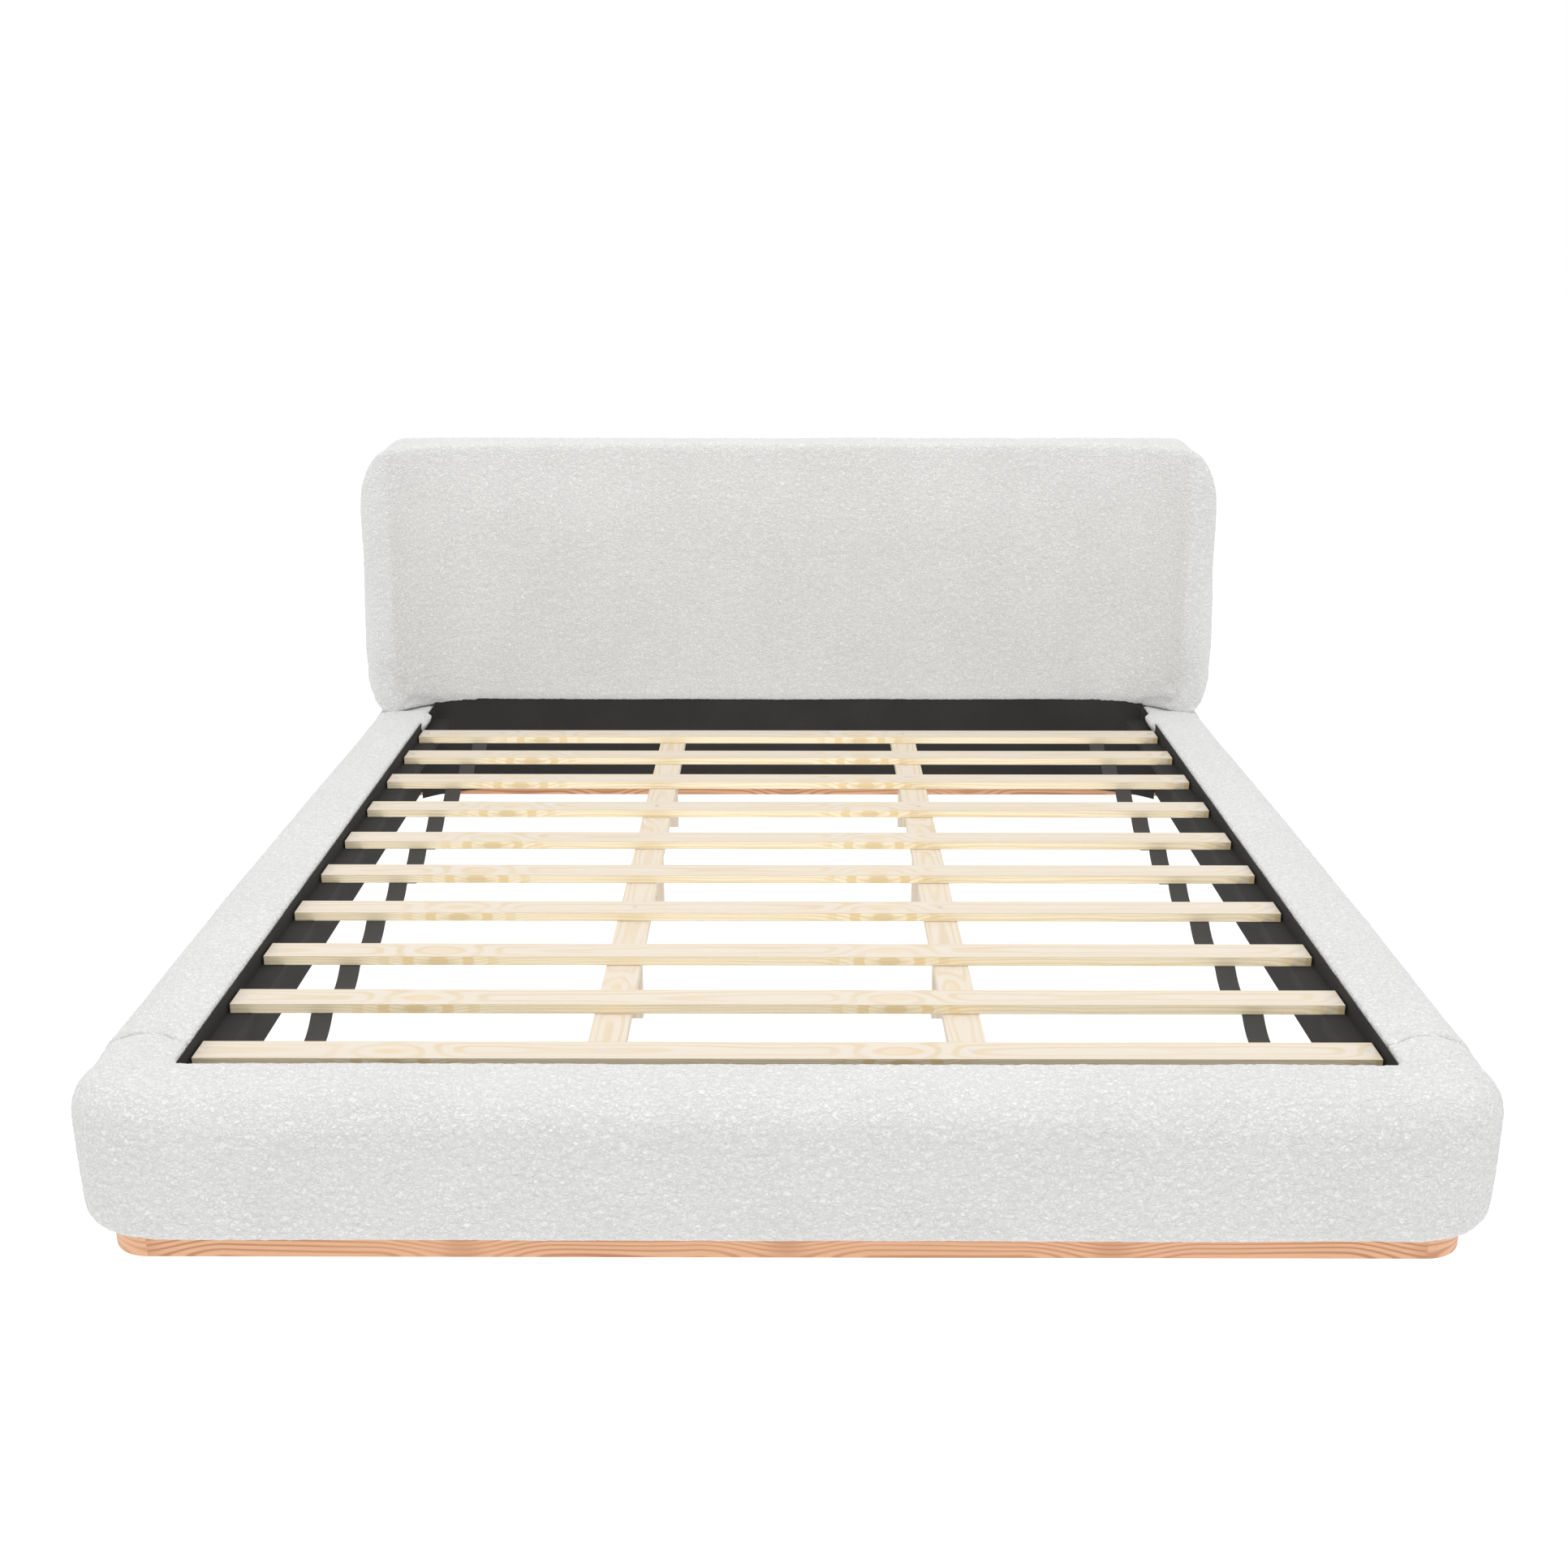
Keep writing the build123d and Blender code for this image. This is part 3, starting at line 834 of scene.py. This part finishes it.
@dataclass
class FootboardPad(FramePad):
    """The C-shaped pad across the foot, with its two rounded corners and short returns."""

    swell_cap: float = 4 * MM
    outer_inset: float = 1.5 * MM

    def sweep(self, name: str, solid: bool, over: float) -> Piece:
        """Carry the section along one return, round both corners and back along the other return."""
        piece = self.section(name, Side.LEFT, self.seam + over, solid)
        with editing(piece):
            self.carry(piece, (0, self.foot_wall - self.seam - over, 0))
            corner = (-self.well_half, self.foot_wall, 0)
            bpy.ops.mesh.spin(steps=16, angle=-math.pi / 2, center=corner, axis=(0, 0, 1))
            self.carry(piece, (2 * self.well_half, 0, 0))
            corner = (self.well_half, self.foot_wall, 0)
            bpy.ops.mesh.spin(steps=16, angle=-math.pi / 2, center=corner, axis=(0, 0, 1))
            self.carry(piece, (0, self.seam + over - self.foot_wall, 0))
            bpy.ops.mesh.select_all(action="DESELECT")
            bpy.ops.mesh.select_interior_faces()
            bpy.ops.mesh.delete(type="FACE")
        return outward(piece)

    def outward_distance(self, p: Vector) -> float:
        """How far outward from the well's wall a point lies."""
        past = Vector((max(abs(p.x) - self.well_half, 0), max(self.foot_wall - p.y, 0)))
        return past.length

    def held(self, p: Vector) -> bool:
        """Whether the cover is stapled down at a point."""
        u = self.outward_distance(p)
        cuff = u < 8 * MM
        return self.inside_board(p, u) or cuff or self.seam_end(p, u)

    def loose(self, p: Vector) -> bool:
        """Whether the padding's edges are soft at a point: all but the crisp edge over the well."""
        return self.outward_distance(p) > 24 * MM

    def build(self) -> Piece:
        """Make the footboard's pad."""
        piece = self.sweep("footboard_pad", solid=True, over=self.seam_overlap)
        combine(piece, self.sweep("board_room", solid=False, over=5 * MM), Cut.AWAY)
        outward(piece)
        nodes = ("foot_cover", "foot_foam", "foot_foam_left_corner", "foot_foam_right_corner")
        return self.cover(piece, self.held, 0.85, *nodes)


@dataclass
class RailPad(FramePad):
    """The straight pad of one side rail, from the footboard's seam to the head."""

    side: Side = Side.LEFT
    tuck_start: float = 1973 * MM
    tuck_end: float = 2062 * MM
    tuck_reach: float = 13 * MM
    tuck_low: float = 268 * MM
    seat_top: float = 281 * MM
    core_gap: float = 2 * MM

    def held(self, p: Vector) -> bool:
        """Whether the cover is stapled down at a point."""
        u = abs(p.x) - self.well_half
        cuff = u < 8 * MM
        ends = self.seam_end(p, u) or p.y > self.back - 4 * MM
        under_headboard = p.y > self.rest and p.z > self.top - 8 * MM
        return self.inside_board(p, u) or cuff or ends or under_headboard

    def loose(self, p: Vector) -> bool:
        """Whether the padding's edges are soft at a point: all but the crisp edge over the well."""
        return abs(p.x) - self.well_half > 24 * MM

    def build(self) -> Piece:
        """Make this side's rail pad."""
        word = self.side.word
        low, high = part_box(f"{word}_rail_cover")
        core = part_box("headboard_core")[0].y
        self.back = high.y
        self.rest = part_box("headboard_cover")[0].y
        start = self.seam - self.seam_overlap
        piece = self.section(f"{word}_rail_pad", self.side, start, solid=True)
        with editing(piece):
            self.carry(piece, (0, self.back - start, 0))
        outward(piece)
        room = self.section("board_room", self.side, start - 5 * MM, solid=False)
        with editing(room):
            self.carry(room, (0, self.back - start + 20 * MM, 0))
        combine(piece, outward(room), Cut.AWAY)
        ends = sorted(self.side.value * (self.well_half + u) for u in (-0.01, self.board_reach))
        notch = block("core_room", (ends[0], core - self.core_gap, 0), (ends[1], self.back + 0.01, 0.4))
        combine(piece, notch, Cut.AWAY)
        ends = sorted(self.side.value * (self.well_half + u) for u in (-0.05, 0.2))
        seat = block("headboard_seat", (ends[0], self.rest + 22 * MM, self.seat_top), (ends[1], self.back + 0.01, 0.4))
        combine(piece, seat, Cut.AWAY)
        ends = sorted(self.side.value * (self.well_half + u) for u in (-self.tuck_reach, 0.02))
        tuck = block(
            "tuck",
            (ends[0], self.foot_wall + self.tuck_start, self.tuck_low),
            (ends[1], self.foot_wall + self.tuck_end, self.top - 4 * MM),
        )
        combine(piece, tuck, Cut.TOGETHER)
        outward(piece)
        return self.cover(piece, self.held, 0.85, f"{word}_rail_cover", f"{word}_rail_foam")


@dataclass
class HeadboardPad(PaddedUnit):
    """The headboard's pad: large round top corners, and ends that bow forward to a round edge."""

    softening: int = 6
    swell_cap: float = 9 * MM
    side_inset: float = -1.5 * MM
    bottom_drop: float = 7.5 * MM
    face_lead: float = 4 * MM
    back_lead: float = 2.5 * MM
    crisp_height: float = 45 * MM
    top_corner_width: float = 106 * MM
    top_corner_height: float = 198 * MM
    bottom_radius: float = 62 * MM
    back_radius: float = 35 * MM
    tip_radius: float = 47 * MM
    bow_start: float = 800 * MM
    bow_radius: float = 308 * MM
    tip_inner_radius: float = 34 * MM

    def loose(self, p: Vector) -> bool:
        """Whether the padding's edges are soft at a point: all but the straight edge at the bottom."""
        return p.z > self.low.z + self.crisp_height

    def outline(self) -> Piece:
        """A deep block with the headboard's outline from the front."""
        low, high = self.low, self.high
        piece = block("outline", (low.x, low.y - 0.05, low.z), (high.x, high.y + 0.05, high.z))
        round_edges(
            piece, lambda p: p.z < low.z + 1e-4 and abs(p.x) > high.x - 1e-4, self.bottom_radius, 8
        )
        round_edges(
            piece, lambda p: p.z > high.z - 1e-4 and abs(p.x) > high.x - 1e-4, self.top_corner_width, 16
        )
        with editing(piece, "VERT"):
            start = high.z - self.top_corner_width - 1e-4
            choose(piece, "verts", lambda p: p.z > start)
            taller = self.top_corner_height / self.top_corner_width
            bpy.ops.transform.resize(value=(1, 1, taller), center_override=(0, 0, high.z))
        return piece

    def build(self) -> Piece:
        """Make the headboard's pad."""
        low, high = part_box("headboard_cover")
        room = Vector((self.side_inset, self.inset, self.inset))
        self.low, self.high = low + room, high - room
        self.low.z = low.z - self.bottom_drop
        self.high.y = high.y + self.back_lead
        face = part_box("head_lining")[1].y - 1.5 * MM - self.face_lead
        front, back = self.low.y, self.high.y
        piece = block("headboard_pad", self.low, self.high)
        wide = self.high.x - 1e-4
        round_edges(piece, lambda p: abs(p.x) > wide and p.y < front + 1e-4, self.tip_radius, 10)
        round_edges(piece, lambda p: abs(p.x) > wide and p.y > back - 1e-4, self.back_radius, 8)
        hollow_half = self.bow_start + self.bow_radius + self.inset
        hollow = block("bow", (-hollow_half, face - 0.6, 0), (hollow_half, face, 1.2))
        round_edges(
            hollow, lambda p: abs(p.x) > hollow_half - 1e-4 and p.y > face - 1e-4, self.bow_radius, 32
        )
        combine(piece, hollow, Cut.AWAY)
        outward(piece)
        tip = self.bow_start + math.sqrt(self.bow_radius**2 - (face - self.bow_radius - front) ** 2)
        round_edges(
            piece,
            lambda p: p.y < front + 1 * MM and abs(abs(p.x) - tip) < 12 * MM and self.low.x < p.x < self.high.x,
            self.tip_inner_radius, 8,
        )
        combine(piece, self.outline(), Cut.COMMON)
        outward(piece)
        back_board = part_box("headboard_core")[1].y

        def held(p: Vector) -> bool:
            """Whether the cover is stapled to the core, or rests on the frame."""
            return p.y > back_board - 4 * MM or p.z < self.low.z + 5 * MM

        nodes = [f"headboard_{n}" for n in ("cover", "foam", "foam_left_wing", "foam_right_wing")]
        return self.cover(piece, held, 0.8, *nodes)


# Linings and webbing.


@dataclass
class FoldedLining:
    """A strip of lining folded over a ledge or a batten and stapled to the boards."""

    cloth: bpy.types.Material
    thickness: float = 1.5 * MM
    ripple: float = 1.2 * MM
    ripple_size: float = 0.09
    seam_step: float = 20 * MM

    def fold(self, piece: Piece, edge: Test, steps: list[Vector]) -> float:
        """Fold a strip on from its lower edge, one flat at a time.

        Args:
            piece: The strip so far.
            edge: Says whether a point is on the edge to go on from.
            steps: The way from each fold to the next.

        Returns:
            How much length the folds added.
        """
        with editing(piece, "EDGE"):
            choose(piece, "edges", edge)
            for step in steps:
                bpy.ops.mesh.extrude_region_move(TRANSFORM_OT_translate={"value": step})
        return sum(Vector(step).length for step in steps)

    def finish(self, piece: Piece, area: tuple[float, float], rests_on: list[str], *nodes: str) -> Piece:
        """Thicken, ripple and dress a folded strip.

        Args:
            piece: The folded strip.
            area: The strip's flat width and length; not used.
            rests_on: The boards that it is stapled to; not used.
            nodes: The frame's nodes that it stands for.

        Returns:
            The finished lining.
        """
        with editing(piece, "EDGE"):
            for _ in range(5):
                choose_long(piece, self.seam_step)
                bpy.ops.mesh.subdivide(number_cuts=1)
        texture = bpy.data.textures.new("lining ripple", "CLOUDS")
        texture.noise_scale = self.ripple_size
        modify(piece, "DISPLACE", texture=texture, strength=self.ripple, mid_level=0.5, texture_coords="LOCAL")
        bpy.data.textures.remove(texture)
        modify(piece, "SOLIDIFY", thickness=self.thickness, offset=0.0, use_even_offset=True)
        outward(piece)
        only(piece)
        bpy.ops.object.shade_smooth_by_angle(angle=math.radians(40))
        dress(piece, self.cloth)
        register(piece, "lining", *nodes)
        return piece


def choose_long(piece: Piece, limit: float) -> None:
    """Select the edges of an opened piece that are longer than a limit."""
    bpy.ops.mesh.select_all(action="DESELECT")
    mesh = bmesh.from_edit_mesh(piece.data)
    for edge in mesh.edges:
        edge.select_set(edge.calc_length() > limit)
    bmesh.update_edit_mesh(piece.data)


@dataclass
class SideLining(FoldedLining):
    """The lining of one long side: wall, ledge top, ledge front, ledge underside and board."""

    side: Side = Side.LEFT
    wall_top: float = 282 * MM

    def build(self) -> Piece:
        """Make this side's lining."""
        word, out = self.side.word, self.side.value
        half = self.thickness / 2
        low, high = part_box(f"{word}_lining")
        ledge_low, ledge_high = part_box(f"{word}_ledge")
        board_low, board_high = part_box(f"{word}_rail_board")
        board = min(abs(board_low.x), abs(board_high.x))
        well = board - 43.5 * MM
        ledge = min(abs(ledge_low.x), abs(ledge_high.x))
        x = out * (well + half)
        piece = flat(
            f"{word}_lining_cloth", (x, low.y, ledge_high.z + half), (x, high.y, self.wall_top), (0, math.pi / 2, 0)
        )
        steps = [
            (out * (ledge - half - well - half), 0, 0),
            (0, 0, ledge_low.z - ledge_high.z - 2 * half),
            (out * (board - ledge), 0, 0),
            (0, 0, low.z - ledge_low.z + half),
        ]
        added = self.fold(piece, lambda p: p.z < ledge_high.z + half + 1e-5, steps)
        width = self.wall_top - ledge_high.z - half + added
        rests = [f"{word}_ledge", f"{word}_rail_board"]
        return self.finish(piece, (width, high.y - low.y), rests, f"{word}_lining")


@dataclass
class FootLining(FoldedLining):
    """The lining across the foot: wall, batten underside and board."""

    wall_top: float = 282 * MM

    def build(self) -> Piece:
        """Make the foot's lining."""
        half = self.thickness / 2
        low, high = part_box("foot_lining")
        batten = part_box("foot_batten")[0]
        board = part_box("foot_board")[1].y
        y = high.y - half
        piece = flat(
            "foot_lining_cloth", (low.x, y, batten.z - half), (high.x, y, self.wall_top), (math.pi / 2, 0, 0)
        )
        steps = [(0, board + half - y, 0), (0, 0, low.z - batten.z + half)]
        added = self.fold(piece, lambda p: p.z < batten.z - half + 1e-5, steps)
        width = self.wall_top - batten.z + half + added
        return self.finish(piece, (width, high.x - low.x), ["foot_batten", "foot_board"], "foot_lining")


@dataclass
class HeadLining(FoldedLining):
    """The lining glued over the bowed panel under the headboard."""

    ripple: float = 0.8 * MM
    bow_start: float = 800 * MM
    bow_radius: float = 308 * MM
    top_fold: float = 10 * MM

    def build(self) -> Piece:
        """Make the head panel's lining."""
        half = self.thickness / 2
        low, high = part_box("head_lining")
        y = high.y - half
        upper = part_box("left_ledge")[0].z - 2 * half
        top = high.z + half
        piece = flat(
            "head_lining_cloth", (-self.bow_start, y, low.z), (self.bow_start, y, top), (math.pi / 2, 0, 0)
        )
        fold = self.fold(piece, lambda p: p.z > top - 1e-5, [(0, self.top_fold, 0)])
        radius = self.bow_radius + half
        centre_y = y - radius
        narrow = math.asin((self.side_limit - self.bow_start) / radius)
        wide = math.asin((high.x - self.bow_start) / radius) - narrow
        with editing(piece):
            bpy.ops.mesh.bisect(plane_co=(0, 0, upper), plane_no=(0, 0, 1))
        for out in (-1, 1):
            with editing(piece, "EDGE"):
                choose(piece, "edges", lambda p: abs(p.x - out * self.bow_start) < 1e-5)
                bpy.ops.mesh.select_mode(type="EDGE")
                centre = (out * self.bow_start, centre_y, 0)
                bpy.ops.mesh.spin(steps=12, angle=out * narrow, center=centre, axis=(0, 0, 1))
                bpy.ops.mesh.spin(steps=4, angle=out * wide, center=centre, axis=(0, 0, 1))
        with editing(piece):
            choose(piece, "faces", lambda p: abs(p.x) > self.side_limit and p.z > upper)
            bpy.ops.mesh.delete(type="FACE")
        length = 2 * (self.bow_start + radius * (narrow + wide))
        return self.finish(piece, (top - low.z + fold, length), ["head_panel"], "head_lining")

    @property
    def side_limit(self) -> float:
        """How far from the middle the panel reaches above the ledges."""
        return 979.5 * MM


@dataclass
class BackLining(FoldedLining):
    """The lining stapled across the bottom of the core board, behind the head, and tucked under the pad."""

    tuck: float = 12 * MM

    def build(self) -> Piece:
        """Make the back lining."""
        low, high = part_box("headboard_back_lining")
        high.z += self.tuck
        y = (low.y + high.y) / 2
        piece = flat(
            "headboard_back_lining_cloth", (low.x, y, low.z), (high.x, y, high.z), (math.pi / 2, 0, 0)
        )
        size = (high.z - low.z, high.x - low.x)
        return self.finish(piece, size, ["headboard_core"], "headboard_back_lining")


@dataclass
class SlatTape:
    """A webbing tape that hangs in a shallow loop between each pair of slats."""

    cloth: bpy.types.Material
    thickness: float = 1.5 * MM
    sag: float = 27 * MM
    steps: int = 10
    tab_slats: tuple[int, ...] = (5, 6)
    tab_reach: float = 20 * MM
    tab_length: float = 14 * MM
    slats: int = 10

    def profile(self) -> list[tuple[float, float]]:
        """The tape's line from the foot to the head, as places along the bed and heights."""
        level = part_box("slat_1")[0].z - 0.1 * MM - self.thickness / 2
        line: list[tuple[float, float]] = []
        for number in range(1, self.slats + 1):
            low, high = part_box(f"slat_{number}")
            if line:
                start = line[-1][0]
                for step in range(1, self.steps):
                    share = step / self.steps
                    line.append((start + (low.y - start) * share, level - self.sag * 4 * share * (1 - share)))
            line.append((low.y, level))
            if number in self.tab_slats:
                line.append((low.y + self.tab_length, level))
            line.append((high.y, level))
        return line

    def build(self) -> list[Piece]:
        """Make the left tape, and copy it to the right."""
        low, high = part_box("left_tape")
        line = self.profile()
        inner = high.x - self.tab_reach
        (y, z), (next_y, _) = line[:2]
        piece = flat("left_tape_webbing", (low.x, y, z), (inner, next_y, z), (0, 0, 0))
        with editing(piece, "EDGE"):
            choose(piece, "edges", lambda p: p.y > next_y - 1e-6)
            for (y, z), (next_y, next_z) in zip(line[1:], line[2:]):
                step = (0, next_y - y, next_z - z)
                bpy.ops.mesh.extrude_region_move(TRANSFORM_OT_translate={"value": step})
        for number in self.tab_slats:
            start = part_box(f"slat_{number}")[0].y
            with editing(piece, "EDGE"):
                end = start + self.tab_length
                choose(piece, "edges", lambda p: p.x > inner - 1e-6 and start - 1e-6 < p.y < end + 1e-6)
                for share in (0.85, 0.15):
                    step = (self.tab_reach * share, 0, 0)
                    bpy.ops.mesh.extrude_region_move(TRANSFORM_OT_translate={"value": step})
                bpy.ops.transform.resize(
                    value=(1, 0.55, 1), center_override=(high.x, (start + end) / 2, z)
                )
        modify(piece, "SOLIDIFY", thickness=self.thickness, offset=0.0)
        modify(piece, "BEVEL", width=0.35 * MM, segments=2, limit_method="ANGLE", angle_limit=math.radians(60))
        outward(piece)
        other = mirrored(piece, "right_tape_webbing")
        found = []
        for tape, word in ((piece, "left"), (other, "right")):
            only(tape)
            bpy.ops.object.shade_smooth_by_angle(angle=math.radians(40))
            dress(tape, self.cloth)
            register(tape, "webbing", f"{word}_tape")
            found.append(tape)
        return found


# Wood, boards and fasteners: the frame's own nodes, dressed.


@dataclass
class Timber:
    """The frame's boards, which keep their own shapes and get their finishes."""

    finishes: Finishes

    def dress_pine(self, node: str, finish: Pine, grain: Grain, seed: float, slat: bool = False) -> None:
        """Give one node a board of its own."""
        low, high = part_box(node)
        # A slat's narrow sides get lighter colours, which are painted light.
        face = (high.z - low.z) / 2 if slat else 0.0
        dress(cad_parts[node], finish.material((low + high) / 2, grain, seed, face))
        log.info("%s dressed as %s", node, finish.name)

    def dress_all(self) -> None:
        """Dress the slats, the tie boards, the legs and the plinth, then the plain boards."""
        slats, plinth = self.finishes.slat_pine, self.finishes.plinth_pine
        plain = self.finishes.board.material()
        for index, node in enumerate(sorted(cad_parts)):
            seed = 0.37 * index
            if node.startswith("slat_"):
                self.dress_pine(node, slats, Grain.ALONG_X, seed, slat=True)
            elif "tie_board" in node:
                self.dress_pine(node, slats, Grain.ALONG_Y, seed)
            elif "_leg_" in node:
                self.dress_pine(node, slats, Grain.ALONG_Z, seed)
            elif node in ("plinth_left", "plinth_right"):
                self.dress_pine(node, plinth, Grain.ALONG_Y, seed)
            elif node.startswith("plinth"):
                self.dress_pine(node, plinth, Grain.ALONG_X, seed)
            elif node.endswith(("board", "ledge", "batten", "panel", "core")):
                dress(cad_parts[node], plain)
        dress(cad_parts["corner_brackets"], self.finishes.bracket.material())
        fastener = self.finishes.fastener.material()
        for node in ("frame_bolts", "deck_screws"):
            dress(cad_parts[node], fastener)


# The studio.


@dataclass
class Studio:
    """A white floor, soft even light, and a camera at the foot of the bed."""

    eye: tuple[float, float, float] = (0.004, -3.589, 1.580)
    tilt_down: float = 18.14
    turn_left: float = 0.19
    lens: float = 40.06
    floor_size: float = 60.0
    world_light: float = 1.0
    top_light: float = 70.0

    def floor(self) -> None:
        """Lay the floor."""
        bpy.ops.mesh.primitive_plane_add(size=self.floor_size, location=(0, 0, -0.5 * MM))
        piece = bpy.context.active_object
        piece.name = "floor"
        made = Shader("white floor", roughness=1.0)
        shade = made.fade(made.noise(made.ground, 0.5), 0.0, 1.0, 0.19, 0.21)
        made.paint(made.join(shade, shade, shade))
        made.surface.inputs["Emission Color"].default_value = (1, 1, 1, 1)
        made.surface.inputs["Emission Strength"].default_value = 1.06
        made.surface.inputs["Specular IOR Level"].default_value = 0.0
        dress(piece, made.material)

    def lights(self) -> None:
        """Light the room evenly, with one large soft lamp above."""
        world = bpy.data.worlds.new("studio")
        world.use_nodes = True
        sky = world.node_tree.nodes["Background"]
        sky.inputs["Color"].default_value = (1, 1, 1, 1)
        sky.inputs["Strength"].default_value = self.world_light
        bpy.context.scene.world = world
        bpy.ops.object.light_add(type="AREA", location=(0, -0.8, 4.2))
        lamp = bpy.context.active_object
        lamp.name = "top_lamp"
        lamp.data.shape, lamp.data.size = "SQUARE", 4.0
        lamp.data.energy = self.top_light

    def camera(self) -> None:
        """Stand the camera at the foot of the bed."""
        turn = (math.radians(90 - self.tilt_down), 0, math.radians(self.turn_left))
        bpy.ops.object.camera_add(location=self.eye, rotation=turn)
        camera = bpy.context.active_object
        camera.name = "camera"
        camera.data.sensor_width = 36.0
        camera.data.lens = self.lens
        bpy.context.scene.camera = camera

    def build(self) -> None:
        """Set up the floor, the lights and the camera."""
        self.floor()
        self.lights()
        self.camera()
        bpy.context.scene.view_settings.view_transform = "Standard"


def main() -> None:
    """Build the bed's soft pieces in order, dress its frame, and set up the studio."""
    logging.basicConfig(level=logging.INFO, format="%(message)s")
    finishes = Finishes()
    cloth = finishes.boucle.material()
    lining = finishes.lining.material()
    Timber(finishes).dress_all()
    FootboardPad(cloth).build()
    for side in Side:
        RailPad(cloth, side=side).build()
        SideLining(lining, side=side).build()
    HeadboardPad(cloth).build()
    FootLining(lining).build()
    HeadLining(lining).build()
    BackLining(lining).build()
    SlatTape(finishes.webbing.material()).build()
    Studio().build()


if __name__ == "__main__":
    main()
